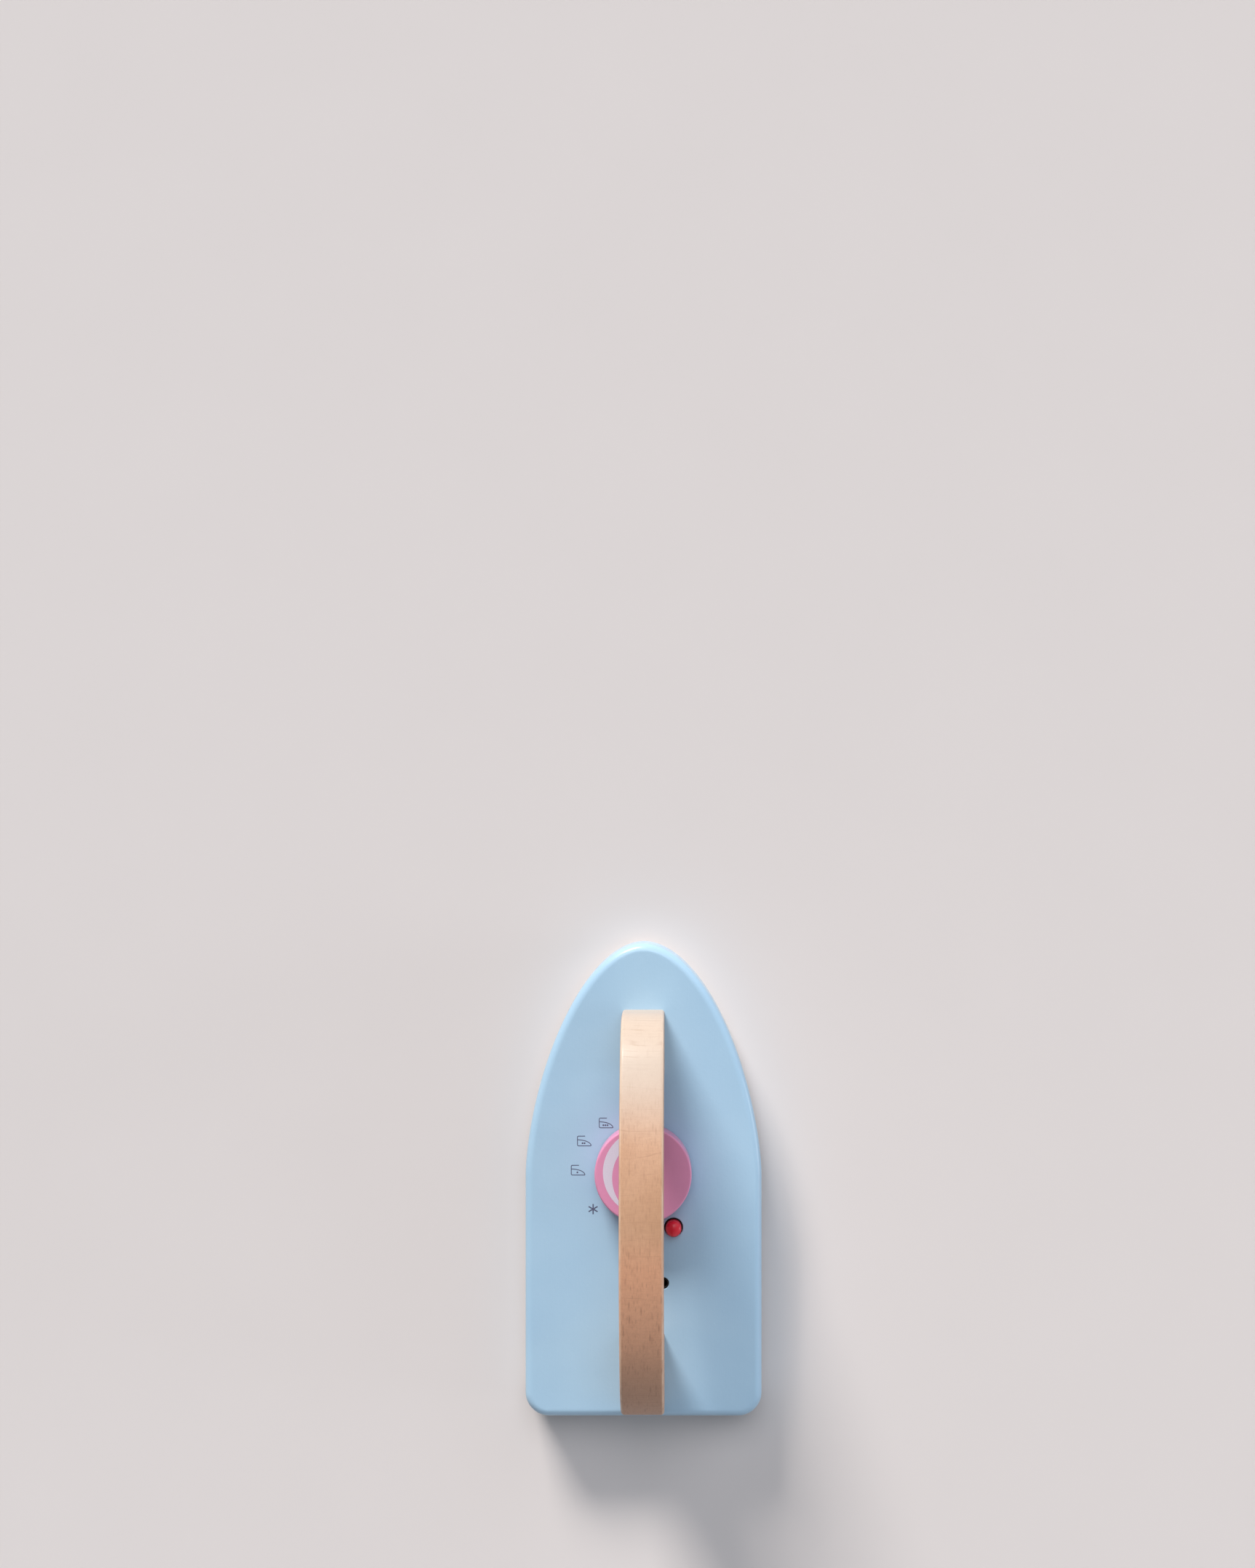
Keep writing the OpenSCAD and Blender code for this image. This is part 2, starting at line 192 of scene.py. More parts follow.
# One step of arithmetic on up to three values.
def sums(finish, operation, first, second=0.0, third=0.0):
    return addNode(finish, "Math", {0: first, 1: second, 2: third}, operation=operation).outputs[0]


# A value between low and high brought to 0 to 1 with a soft start and end.
def softStep(finish, value, low, high):
    inputs = {"Value": value, "From Min": low, "From Max": high}
    return addNode(finish, "MapRange", inputs, interpolation_type="SMOOTHSTEP").outputs["Result"]


# A value between low and high brought evenly to another range, and held at its ends.
def span(finish, value, low, high, outLow=0.0, outHigh=1.0):
    inputs = {"Value": value, "From Min": low, "From Max": high, "To Min": outLow, "To Max": outHigh}
    return addNode(finish, "MapRange", inputs).outputs["Result"]


# A share of 0 to 1 that runs from one value to another instead.
def between(finish, share, first, last):
    return span(finish, share, 0.0, 1.0, first, last)


# First colour where the share is 0, second where it is 1. The node repeats its sockets' names,
# so they go by number.
def blended(finish, share, first, second):
    return addNode(finish, "Mix", {0: share, 6: first, 7: second}, data_type="RGBA").outputs[2]


# Bump from a height whose range of 0 to 1 stands for that depth in millimetres.
def relief(finish, height, depth):
    inputs = {"Height": height, "Distance": depth * mm, "Strength": 1.0}
    toShader(finish, "Normal", addNode(finish, "Bump", inputs).outputs["Normal"])


# Satin paint on wood: cloudy tone, fine specks, faint grain and orange peel under the gloss,
# a few small dents. Here and below a layer of noise is its factors, detail, roughness and shift,
# and a range says at which noise a share starts and ends.
paintLook = dict(cloud=(0.03, 3.0), speck=(1.1, 2.0, 0.6), peel=(0.7, 2.0), grain=((1.6, 0.05, 1.6), 3.0),
                 dent=(0.16, 0.0), cloudRange=(0.3, 0.7), speckRange=(0.66, 0.78), dentRange=(0.76, 0.86),
                 roughRange=(0.2, 0.8), smoother=0.05, rougher=0.07, speckTone=seen(246, 248, 250),
                 grainShare=0.6, depth=0.03, specular=0.35, coatRough=0.12)


# Colour goes from tone to shade with the clouds, then to the specks; bump is peel + grain - dents.
def satinPaint(name, tone, shade, roughness, specks=0.12, dents=0.35, coat=0.25):
    look = paintLook
    finish = newFinish(name, {"Specular IOR Level": look["specular"], "Coat Weight": coat,
                              "Coat Roughness": look["coatRough"]})
    cloud, speck, peel, grain, dent = [grainNoise(finish, *look[layer])
                                       for layer in ("cloud", "speck", "peel", "grain", "dent")]
    colour = blended(finish, span(finish, cloud, *look["cloudRange"]), tone, shade)
    speckled = span(finish, speck, *look["speckRange"], 0.0, specks)
    toShader(finish, "Base Color", blended(finish, speckled, colour, look["speckTone"]))
    limits = roughness - look["smoother"], roughness + look["rougher"]
    toShader(finish, "Roughness", span(finish, speck, *look["roughRange"], *limits))
    height = sums(finish, "MULTIPLY_ADD", grain, look["grainShare"], peel)
    height = sums(finish, "MULTIPLY_ADD", softStep(finish, dent, *look["dentRange"]), -dents, height)
    relief(finish, height, look["depth"])
    return finish


# Beech as a solid: growth rings are thin layers that lie nearly level, so they cross the slopes of a sawn
# arch as fine lines; its crown shows only short saw lines across. Rays are thin upright lenses, dashes along
# the grain. The mesh may carry three marks. "outer" is 1 on the outer face, which has the saw lines and the
# strongest rays. "facing" runs from -1 at the rear to 1 at the front, and carries painted light and shade:
# faces turned to the front are painted pale as if lit, faces turned to the rear ruddier and darker as shade.
# "edge" is 1 on the long edges, which are painted paler: partly wear, partly a painted highlight line.
beechLook = dict(
    pale=seen(206, 161, 128), warm=seen(195, 149, 115), line=seen(142, 97, 70), ray=seen(128, 84, 60),
    paintedLitTone=seen(197, 183, 168), ruddy=seen(219, 161, 126), dark=seen(145, 117, 96), wearAndHighlight=seen(232, 204, 180),
    ring=2.0, ringThin=0.12, wander=2.2, uneven=7.0, sawn=7.5, sawnThin=0.024, sawnWander=14.0,
    crown=(56, 62), ahead=(0.48, 0.92), behind=(-0.72, -0.97), rearward=(0.0, -0.4),
    dashes=[((0.95, 0.2, 0.14), 0.42), ((1.6, 0.36, 0.3), 0.34)], dashLens=(0.5, 0.05),
    dashPick=(0.3, 0.95), raysOffFace=0.3, raysAhead=0.25, raysMid=0.62, paintedLitMost=0.85, darkMost=0.6,
    figures=dict(fibre=0.15, weave=0.1, mottle=0.12), figureRange=(0.42, 0.72), figureAhead=0.3,
    patchRange=(0.3, 0.7), lineRange=(0.4, 0.65, 0.02, 0.24), wearAndHighlightRange=(0.35, 0.6, 0.25, 0.65),
    roughRange=(0.3, 0.7), smoother=0.06, rougher=0.1, depth=0.02, specular=0.35, coatRough=0.26)
beechLayers = dict(
    wander=((0.07, 0.02, 0.07), 2.0),
    uneven=((0.003, 0.003, 0.2), 1.0, 0.5, (7.0, 3.0, 1.0)),
    sawn=((0.015, 0.09, 0.015), 2.0, 0.5, (5.0, 2.0, 9.0)),
    patch=((0.05, 0.03, 0.05), 2.0, 0.5, (3.0, 11.0, 5.0)),
    streak=((0.16, 0.1, 0.16), 2.0, 0.5, (1.0, 4.0, 8.0)),
    fibre=((4.5, 0.16, 4.5), 3.0, 0.6),
    weave=((0.3, 1.7, 0.3), 2.0, 0.6, (2.0, 6.0, 4.0)),
    mottle=((0.55, 0.3, 0.55), 3.0, 0.6, (9.0, 1.0, 7.0)))


# Dashes: the middles of cells stretched by the three factors, some darker than others,
# up to the given share.
def dashes(finish, factors, share):
    inputs = {"Vector": spot(finish, factors), "Scale": 1.0, "Randomness": 1.0}
    cells = addNode(finish, "TexVoronoi", inputs)
    pick = addNode(finish, "SeparateColor", {"Color": cells.outputs["Color"]}).outputs["Red"]
    lens = softStep(finish, cells.outputs["Distance"], *beechLook["dashLens"])
    return sums(finish, "MULTIPLY", lens, span(finish, pick, *beechLook["dashPick"], 0.0, share))


# Thin lines where a measure passes the middle of each period, as wide as the given share of it.
def thinLines(finish, measure, period, thin):
    phase = sums(finish, "FRACT", sums(finish, "DIVIDE", measure, period))
    return softStep(finish, sums(finish, "ABSOLUTE", sums(finish, "SUBTRACT", phase, 0.5)), thin, 0.0)


# Tones, lines and rays laid over each other by their shares; bump is fibre - lines and rays.
# The grain runs along y, or upright for a dowel, where the two axes change places.
def beechWood(name, upright=False, roughness=0.44, coat=0.12):
    look = beechLook
    finish = newFinish(name, {"Specular IOR Level": look["specular"], "Coat Weight": coat,
                              "Coat Roughness": look["coatRough"]})

    def grained(factors):
        across, along, rise = factors
        return (across, rise, along) if upright else factors

    layers = {layer: grainNoise(finish, grained(factors), *rest)
              for layer, (factors, *rest) in beechLayers.items()}
    axes = addNode(finish, "SeparateXYZ", {"Vector": spot(finish, 1)}).outputs
    rise, length = (axes["Y"], axes["Z"]) if upright else (axes["Z"], axes["Y"])
    outer, facing, edge = [meshMark(finish, mark) for mark in ("outer", "facing", "edge")]
    ahead, behind, rearward = [softStep(finish, facing, *look[part])
                               for part in ("ahead", "behind", "rearward")]

    # growth rings below the crown, saw lines on it
    onCrown = sums(finish, "MULTIPLY", softStep(finish, rise, *look["crown"]), outer)
    level = sums(finish, "MULTIPLY_ADD", layers["wander"], look["wander"], rise)
    level = sums(finish, "MULTIPLY_ADD", layers["uneven"], look["uneven"], level)
    rings = thinLines(finish, level, look["ring"], look["ringThin"])
    rings = sums(finish, "MULTIPLY", rings, sums(finish, "SUBTRACT", 1.0, onCrown))
    across = sums(finish, "MULTIPLY_ADD", layers["sawn"], look["sawnWander"], length)
    sawn = sums(finish, "MULTIPLY", thinLines(finish, across, look["sawn"], look["sawnThin"]), onCrown)
    line = sums(finish, "MAXIMUM", rings, sawn)
    line = sums(finish, "MULTIPLY", line, span(finish, layers["streak"], *look["lineRange"]))

    # rays, fewer off the outer face, and fewer towards the front, where the painted highlight washes them
    # out
    broad, fine = [dashes(finish, grained(factors), most) for factors, most in look["dashes"]]
    ray = sums(finish, "MAXIMUM", broad, fine)
    for share, first, last in ((outer, look["raysOffFace"], 1.0), (ahead, 1.0, look["raysAhead"]),
                               (rearward, look["raysMid"], 1.0)):
        ray = sums(finish, "MULTIPLY", ray, between(finish, share, first, last))

    # tones from the ground up
    patch = span(finish, layers["patch"], *look["patchRange"])
    colour = blended(finish, patch, look["pale"], look["warm"])
    # painted light and shade: ruddier where faces turn to the rear, pale where they turn to the front as if
    # lit, darker at the very rear
    colour = blended(finish, rearward, colour, look["ruddy"])
    colour = blended(finish, between(finish, ahead, 0.0, look["paintedLitMost"]), colour, look["paintedLitTone"])
    colour = blended(finish, between(finish, behind, 0.0, look["darkMost"]), colour, look["dark"])
    # grain figures thin out under the painted front highlight
    figureLeft = between(finish, ahead, 1.0, look["figureAhead"])
    for figure, most in look["figures"].items():
        share = span(finish, layers[figure], *look["figureRange"], 0.0, most)
        colour = blended(finish, sums(finish, "MULTIPLY", share, figureLeft), colour, look["line"])
    colour = blended(finish, line, colour, look["line"])
    colour = blended(finish, ray, colour, look["ray"])
    # long edges painted paler: partly wear, partly a painted highlight line along them
    wearAndHighlight = sums(finish, "MULTIPLY", edge, span(finish, layers["streak"], *look["wearAndHighlightRange"]))
    toShader(finish, "Base Color", blended(finish, wearAndHighlight, colour, look["wearAndHighlight"]))

    limits = roughness - look["smoother"], roughness + look["rougher"]
    toShader(finish, "Roughness", span(finish, layers["fibre"], *look["roughRange"], *limits))
    pores = sums(finish, "MAXIMUM", ray, line)
    relief(finish, sums(finish, "MULTIPLY_ADD", pores, -1.0, layers["fibre"]), look["depth"])
    return finish


# Moulded plastic: one dark tone with a fine even texture.
plasticLook = dict(tone=seen(15, 13, 18), shade=seen(8, 8, 10), fine=(2.5, 2.0), fineRange=(0.3, 0.7),
                   rough=(0.48, 0.64), depth=0.015, specular=0.2)


# One fine noise mixes the two tones and gives roughness and bump.
def mouldedPlastic(name):
    look = plasticLook
    finish = newFinish(name, {"Specular IOR Level": look["specular"]})
    fine = grainNoise(finish, *look["fine"])
    toShader(finish, "Base Color", blended(finish, fine, look["tone"], look["shade"]))
    toShader(finish, "Roughness", span(finish, fine, *look["fineRange"], *look["rough"]))
    relief(finish, fine, look["depth"])
    return finish


# Zinc plate: bright metal with small cloudy crystals and fine turning lines.
zincLook = dict(tone=seen(205, 207, 209), shade=seen(166, 169, 174), crystal=(1.4, 3.0),
                lines=((0.6, 0.6, 9.0), 2.0), lineRange=(0.3, 0.7), rough=(0.26, 0.44), depth=0.008)


# The crystals mix the two tones, and the turning lines give roughness and bump.
def zincPlate(name):
    look = zincLook
    finish = newFinish(name, {"Metallic": 1.0})
    crystal, lines = grainNoise(finish, *look["crystal"]), grainNoise(finish, *look["lines"])
    toShader(finish, "Base Color", blended(finish, crystal, look["tone"], look["shade"]))
    toShader(finish, "Roughness", span(finish, lines, *look["lineRange"], *look["rough"]))
    relief(finish, lines, look["depth"])
    return finish


# Pressed felt: short tangled fibres, pale, with a little sheen.
feltLook = dict(tone=seen(236, 232, 224), shade=seen(206, 200, 190), fibre=(5.0, 4.0, 0.7), rough=0.95,
                sheen=0.4, sheenRough=0.5, depth=0.12)


# The fibres mix the two tones and give the bump.
def pressedFelt(name):
    look = feltLook
    finish = newFinish(name, {"Roughness": look["rough"], "Sheen Weight": look["sheen"],
                              "Sheen Roughness": look["sheenRough"]})
    fibre = grainNoise(finish, *look["fibre"])
    toShader(finish, "Base Color", blended(finish, fibre, look["tone"], look["shade"]))
    relief(finish, fibre, look["depth"])
    return finish


# Printed ink: nearly even, thin where the surface under it is rough.
inkLook = dict(patch=(2.2, 3.0, 0.6), patchRange=(0.5, 0.8), rough=0.6)


# Colour goes from tone to thin where the patches are strong.
def printInk(name, tone, thin):
    finish = newFinish(name, {"Roughness": inkLook["rough"]})
    patch = grainNoise(finish, *inkLook["patch"])
    share = span(finish, patch, *inkLook["patchRange"])
    toShader(finish, "Base Color", blended(finish, share, tone, thin))
    return finish


# The colours of paint and ink.
paints = dict(
    blue=dict(tone=seen(171, 202, 223), shade=seen(164, 196, 219), roughness=0.36),
    grey=dict(tone=seen(203, 205, 207), shade=seen(194, 197, 200), roughness=0.42),
    pink=dict(tone=seen(224, 145, 180), shade=seen(217, 138, 173), roughness=0.36, specks=0.05),
    red=dict(tone=seen(224, 30, 52), shade=seen(214, 26, 46), roughness=0.34, specks=0.0, dents=0.1,
             coat=0.06))
inks = dict(sign=dict(tone=seen(80, 85, 110), thin=seen(108, 115, 138)),
            gauge=dict(tone=seen(218, 206, 220), thin=seen(209, 196, 212)))

bluePaint = satinPaint("blue_paint", **paints["blue"])
greyPaint = satinPaint("grey_paint", **paints["grey"])
pinkPaint = satinPaint("pink_paint", **paints["pink"])
redPaint = satinPaint("red_paint", **paints["red"])
beech = beechWood("beech")
dowelBeech = beechWood("dowel_beech", upright=True, roughness=0.55, coat=0.0)
blackPlastic = mouldedPlastic("black_plastic")
steel = zincPlate("steel")
felt = pressedFelt("felt")
signInk = printInk("sign_ink", **inks["sign"])
gaugePrint = printInk("gauge_print", **inks["gauge"])
print("finishes made:", len(bpy.data.materials))

# The block's outline and edges, shared by the sole plate under it.
block = dict(halfWide=45, heel=-90, nose=90, noseLong=88, tipPower=1.9, flankPower=1.6, heelRound=9,
             low=4, high=20, rimRound=3, footRound=0.5, flat=0.6,
             heelSteps=20, cornerSteps=18, sideSteps=40, noseSteps=120, rimSteps=14)


# Right half of the outline from the middle of the heel to the nose: straight heel, quarter round corner,
# straight side, then the superellipse x = w cos(a)^(2/p), y = y0 + l sin(a)^(2/q).
# Every point is moved inwards by step along the outline's own normal.
def halfOutline(step):
    wide, rounding, flank = block["halfWide"], block["heelRound"], block["nose"] - block["noseLong"]
    across = np.linspace(0, wide - rounding, block["heelSteps"], endpoint=False)
    heel = np.stack([across, np.full_like(across, block["heel"] + step)], -1)
    corner = arc((wide - rounding, block["heel"] + rounding), rounding - step, -90, 0, block["cornerSteps"])
    along = np.linspace(block["heel"] + rounding, flank, block["sideSteps"], endpoint=False)[1:]
    side = np.stack([np.full_like(along, wide - step), along], -1)
    turn = np.linspace(0, np.pi / 2, block["noseSteps"] + 1)
    tip, long = 2 / block["tipPower"], 2 / block["flankPower"]
    cosine, sine = np.clip(np.cos(turn), 0, 1), np.sin(turn)
    nose = np.stack([wide * cosine ** tip, flank + block["noseLong"] * sine ** long], -1)
    slope = np.stack([block["tipPower"] / wide * cosine ** (2 - tip),
                      block["flankPower"] / block["noseLong"] * sine ** (2 - long)], -1)
    nose -= step * slope / np.linalg.norm(slope, axis=1, keepdims=True)
    return np.concatenate([heel, corner, side, nose])


# The whole outline at one height: the right half, then its mirror image back to the heel.
def outlineRing(step, height):
    right = halfOutline(step)
    return lifted(np.concatenate([right, right[-2:0:-1] * (-1, 1)]), height)


# A slab of that outline from low to high: quarter rounds of the two radii at its lower and upper edge.
def outlineSlab(low, high, lowRound, highRound, inset=0):
    under = arc((lowRound, low + lowRound), lowRound, -90, -180, block["rimSteps"])
    over = arc((highRound, high - highRound), highRound, 180, 90, block["rimSteps"])
    inner = block["flat"]
    edge = np.concatenate([[[lowRound + inner, low]], under, over, [[highRound + inner, high]]])
    return ringSkin(np.stack([outlineRing(inset + step, height) for step, height in edge]))


# The block's holes: the radius, lower end and upper end of each step, widest below.
holes = dict(dial=[(10, 3, 10), (4.08, 10, 20)], button=[(5.58, 3, 13), (3.58, 13, 20)],
             vent=[(2.2, 12, 20)], ease=0.2, past=0.5, sides=64)


# A stepped hole as one turned cutter: straight steps, then a flare at forty-five degrees through
# the top face, so that the mouth has an eased edge.
def steppedHole(centre, steps):
    section = [(radius, height) for radius, low, high in steps for height in (low, high)]
    radius, ease, past = steps[-1][0], holes["ease"], holes["past"]
    section[-1] = (radius, block["high"] - ease)
    section.append((radius + ease + past, block["high"] + past))
    return turned(section, centre, holes["sides"])


dialAt, buttonAt, ventAt = (0, 4), (11.4, -17.7), (7.5, -39)  # their middles, x and y
blockShape = outlineSlab(block["low"], block["high"], block["footRound"], block["rimRound"])
paintedBlock = newObject("paintedBlock", blockShape)
drill(paintedBlock, [steppedHole(dialAt, holes["dial"]), steppedHole(buttonAt, holes["button"]),
                     steppedHole(ventAt, holes["vent"])])
settle(paintedBlock, bluePaint, "iron", "body")

# The sole plate, with a countersunk hole for each screw: screws stand in pairs, left and right.
sole = dict(inset=0.6, low=0, high=4, lowRound=1, highRound=0.2, screws=[(22.05, 52.2), (33.75, -75.6)],
            head=2.9, shank=1.55, sink=0.2, cone=1.5, past=1, sides=48)
soleShape = outlineSlab(sole["low"], sole["high"], sole["lowRound"], sole["highRound"], sole["inset"])
solePlate = newObject("solePlate", soleShape)
countersink = [(sole["head"], sole["low"] - sole["past"]), (sole["head"], sole["sink"]),
               (sole["shank"], sole["sink"] + sole["cone"]), (sole["shank"], sole["high"] + sole["past"])]
drill(solePlate, [turned(countersink, (side * x, y), sole["sides"])
                  for x, y in sole["screws"] for side in (-1, 1)])
settle(solePlate, greyPaint, "iron", "sole_plate")

# The handle's side lines: feet, two bends and a crown of one circle.
arch = dict(front=65, rear=-85.5, frontIn=41, rearIn=-57.5, crownY=-10.25, crownZ=-45, crownRound=120,
            grip=18, bends=(30, 40), inBends=(18, 22), wide=16, edge=1.25, foot=20, footSteps=6,
            steps=(44, 72, 52), cornerSteps=8, outerSharp=3, sidePaintedLight=0.65, edgeSharp=4)


# Points along one side line from the front foot to the rear: each bend touches its foot's line
# and lies inside the crown, so its centre is (crown radius - bend radius) from the crown's centre.
def sideLine(front, rear, crown, bends):
    top = np.array([arch["crownY"], arch["crownZ"]])

    def bendCentre(y, radius):
        return np.array([y, top[1] + math.sqrt((crown - radius) ** 2 - (y - top[0]) ** 2)])

    def footLine(y, bendStart):
        share = np.linspace(0, 1, arch["footSteps"], endpoint=False)
        return np.stack([np.full_like(share, y), arch["foot"] + share * (bendStart - arch["foot"])], -1)

    ahead, behind = bendCentre(front - bends[0], bends[0]), bendCentre(rear + bends[1], bends[1])
    aheadTurn, behindTurn = [math.degrees(math.atan2(*(bend - top)[::-1])) for bend in (ahead, behind)]
    return np.concatenate([
        footLine(front, ahead[1]),
        arc(ahead, bends[0], 0, aheadTurn, arch["steps"][0]),
        arc(top, crown, aheadTurn, behindTurn, arch["steps"][1])[1:-1],
        arc(behind, bends[1], behindTurn, 180, arch["steps"][2]),
        footLine(rear, behind[1])[::-1],
    ])


# A rounded rectangle carried along the arch: it stands between a point of the outer line and the matching
# point of the opening, and is as wide as the handle. With a the turn round the section and f how far its
# outer side faces the front, the marks are: outer = outerSharp sin a, held to 0 to 1;
# edge = sin(2a)^edgeSharp, where the edges are painted paler, partly as a painted highlight; facing = f
# outer, or in the front half f s (1 + sin a), with s the share given for the sides, the factor of f held to
# 1, so that the sides take the painted front light there too. The beech finish paints light and shade by
# facing.
def archSkin():
    outer = sideLine(arch["front"], arch["rear"], arch["crownRound"], arch["bends"])
    inner = sideLine(arch["frontIn"], arch["rearIn"], arch["crownRound"] - arch["grip"], arch["inBends"])
    depth = np.linalg.norm(outer - inner, axis=1, keepdims=True)
    up, middle = (outer - inner) / depth, (outer + inner) / 2
    quarters = [np.linspace(start, start + 90, arch["cornerSteps"] + 1) for start in (0, 90, 180, 270)]
    turn = np.radians(np.concatenate(quarters))
    corner = np.repeat(np.arange(4), arch["cornerSteps"] + 1)
    rounding = arch["edge"]
    right, outward = np.where((corner == 0) | (corner == 3), 1, -1), np.where(corner < 2, 1, -1)
    across = (arch["wide"] / 2 - rounding) * right + rounding * np.cos(turn)
    away = (depth / 2 - rounding) * outward + rounding * np.sin(turn)
    along = middle[:, :1] + away * up[:, :1]
    height = middle[:, 1:] + away * up[:, 1:]
    skin = ringSkin(np.stack([np.broadcast_to(across, along.shape), along, height], -1))
    outerFace = np.broadcast_to(np.clip(arch["outerSharp"] * np.sin(turn), 0, 1), along.shape)
    sides = np.clip(arch["sidePaintedLight"] + arch["sidePaintedLight"] * np.sin(turn), 0, 1)
    facing = np.where(up[:, :1] > 0, sides, outerFace) * up[:, :1]
    edge = np.broadcast_to(np.sin(2 * turn) ** arch["edgeSharp"], along.shape)
    return skin, dict(outer=outerFace, facing=facing, edge=edge)


archShape, archMarks = archSkin()
beechHandle = newObject("beechHandle", archShape)
for mark, values in archMarks.items():
    attribute = beechHandle.data.attributes.new(mark, "FLOAT", "POINT")
    attribute.data.foreach_set("value", values.ravel().astype(np.float32))
settle(beechHandle, beech, "iron", "handle")

# The dial: a turned disc with a socket for its axle. A flat core closes a turned section at its middle.
disc = dict(radius=18.25, low=20.9, thick=10, footRound=0.6, edgeRound=0.7, socket=4.05, socketDeep=6,
            flat=0.4, core=0.3, footSteps=6, edgeSteps=12, sides=160)
discTop = disc["low"] + disc["thick"]


# From the socket's roof down its wall, out to a small round at the foot, up to a fuller one
# and back to the middle.
def discSection():
    radius, low, foot, edge = disc["radius"], disc["low"], disc["footRound"], disc["edgeRound"]
    roof = low + disc["socketDeep"]
    return np.concatenate([
        [(disc["core"], roof), (disc["socket"], roof), (disc["socket"], low)],
        arc((radius - foot, low + foot), foot, -90, 0, disc["footSteps"]),
        arc((radius - edge, discTop - edge), edge, 0, 90, disc["edgeSteps"]),
        [(radius - edge - disc["flat"], discTop), (disc["core"], discTop)],
    ])


dialDisc = newObject("dialDisc", turned(discSection(), dialAt, disc["sides"]))
settle(dialDisc, pinkPaint, "dial", "dial")

# The gauge printed on the dial: two circles off the dial's centre, x, y and radius, and its end angles.
gauge = dict(outer=(1.37, 1.05, 16.42), inner=(4.2, -1.08, 15.8), start=80, stop=250, steps=150, ink=0.03)


# A band between the circles, which narrows to its ends. In direction u from the dial's centre, a circle
# about c with radius R lies c.u + sqrt((c.u)^2 - c.c + R^2) out.
def gaugeSkin():
    out = toward(np.radians(np.linspace(gauge["start"], gauge["stop"], gauge["steps"] + 1)))

    def reach(x, y, radius):
        lean = out @ np.array([x, y])
        return lean + np.sqrt(lean ** 2 - np.dot((x, y), (x, y)) + radius ** 2)

    near = reach(*gauge["inner"])
    far = np.minimum(reach(*gauge["outer"]), disc["radius"] - disc["edgeRound"])
    return flatBand(out * near[:, None] + dialAt, out * far[:, None] + dialAt,
                    discTop - gauge["ink"], discTop + gauge["ink"])


dialGauge = newObject("dialGauge", gaugeSkin())
settle(dialGauge, gaugePrint, "dial")

# The push button: pilot, flange, shaft and dome.
plunger = dict(radius=3, tip=25, dome=1.9, flangeLow=9.9, flange=1.5, flangeRadius=4.5, pilot=2.2,
               pilotHigh=1.4, core=0.2, domeStop=86, domePoints=18, sides=64)


# Up the pilot, out round the flange, then the shaft, which ends in a dome, a quarter of an ellipse.
def plungerSection():
    low = plunger["flangeLow"]
    pilotLow, high = low - plunger["pilotHigh"], low + plunger["flange"]
    turn = np.radians(np.linspace(0, plunger["domeStop"], plunger["domePoints"]))
    dome = toward(turn) * (plunger["radius"], plunger["dome"]) + (0, plunger["tip"] - plunger["dome"])
    return np.concatenate([
        [(plunger["core"], pilotLow), (plunger["pilot"], pilotLow), (plunger["pilot"], low)],
        [(plunger["flangeRadius"], low), (plunger["flangeRadius"], high), (plunger["radius"], high)],
        dome,
    ])


pushButton = newObject("pushButton", turned(plungerSection(), buttonAt, plunger["sides"]))
settle(pushButton, redPaint, "button", "button")

# The black sleeve round the button, with a flange under the block's shoulder and a softened mouth.
sleeve = dict(bore=3.08, radius=3.53, high=19.9, low=11.5, flange=5.53, flangeHigh=13, lip=0.12,
              sides=64, crease=30)


# Round the section as a loop: flange, outer wall, the lip's two small slopes and the bore.
def sleeveSection():
    bore, radius, high, lip = sleeve["bore"], sleeve["radius"], sleeve["high"], sleeve["lip"]
    return [
        (bore, sleeve["low"]), (sleeve["flange"], sleeve["low"]), (sleeve["flange"], sleeve["flangeHigh"]),
        (radius, sleeve["flangeHigh"]), (radius, high - lip), (radius - lip, high), (bore + lip, high),
        (bore, high - lip),
    ]


buttonRing = newObject("buttonRing", turned(sleeveSection(), buttonAt, sleeve["sides"], loop=True))
settle(buttonRing, blackPlastic, "iron", "button_sleeve", sleeve["crease"])

# The button's spring stands on the sole plate. Its end turns are closed: they rise only a small share.
coil = dict(radius=2.78, wire=0.5, low=4.1, high=9.8, turns=4, closed=0.5, closedRise=0.04, travel=2.5,
            steps=36, sides=12)


# A round wire carried along a coil: at turn t it stands at angle 2 pi t, and rises in three even stretches.
def coilSkin():
    turn = np.linspace(0, coil["turns"], coil["turns"] * coil["steps"] + 1)
    stretches = [0, coil["closed"], coil["turns"] - coil["closed"], coil["turns"]]
    share = np.interp(turn, stretches, [0, coil["closedRise"], 1 - coil["closedRise"], 1])
    half = coil["wire"] / 2
    rise = coil["low"] + half + (coil["high"] - coil["low"] - coil["wire"]) * share
    around = np.linspace(0, -2 * np.pi, coil["sides"], endpoint=False)
    reach = coil["radius"] + half * np.cos(around)
    angle = 2 * np.pi * turn[:, None]
    across = buttonAt[0] + reach * np.cos(angle)
    along = buttonAt[1] + reach * np.sin(angle)
    height = rise[:, None] + half * np.sin(around)
    return ringSkin(np.stack([across, along, height], -1))


returnSpring = newObject("returnSpring", coilSkin())
settle(returnSpring, steel, "iron", "button_spring")
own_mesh(returnSpring)

# The eyelet in the vent: a black cup with a softened mouth.
eyelet = dict(radius=2.15, bore=1.55, low=12, floor=13, high=19.9, lip=0.25, outerLip=0.6, core=0.2,
              sides=48, crease=30)


